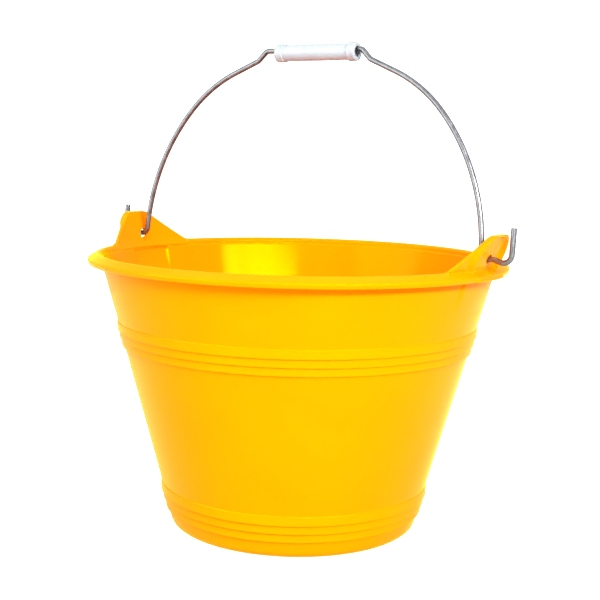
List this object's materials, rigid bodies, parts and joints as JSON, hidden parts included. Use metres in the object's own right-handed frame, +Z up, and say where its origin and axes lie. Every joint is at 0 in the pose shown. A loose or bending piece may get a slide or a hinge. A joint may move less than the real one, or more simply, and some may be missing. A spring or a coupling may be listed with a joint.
{
  "type": "bucket",
  "caption": "Round tapered plastic sand bucket with pierced ears, a swinging bent wire bail and a loose tube grip.",
  "frame": {"origin": "centre of the face the bucket stands on", "axes": "+Z up along the bucket's axis; +X towards one ear, along the bail's hinge line; +Y is the side the bail leans to at rest"},
  "size_m": [0.3512, 0.32, 0.3688],
  "materials": {
    "yellow_plastic": "gloss",
    "galvanised_wire": "satin",
    "white_plastic": "satin"
  },
  "bodies": {
    "root": {"bucket": "yellow_plastic"},
    "bail": {"bail": "galvanised_wire"},
    "grip": {"grip": "white_plastic"}
  },
  "joints": [
    {"name": "bail_swing", "type": "hinge", "parent": "root", "child": "bail", "pos_m": [0, 0, 0.216], "axis": [1, 0, 0], "range_deg": [-84, 95]},
    {"name": "grip_spin", "type": "hinge", "parent": "bail", "child": "grip", "pos_m": [0, 0.01404, 0.36179], "axis": [1, 0, 0], "continuous": true}
  ]
}
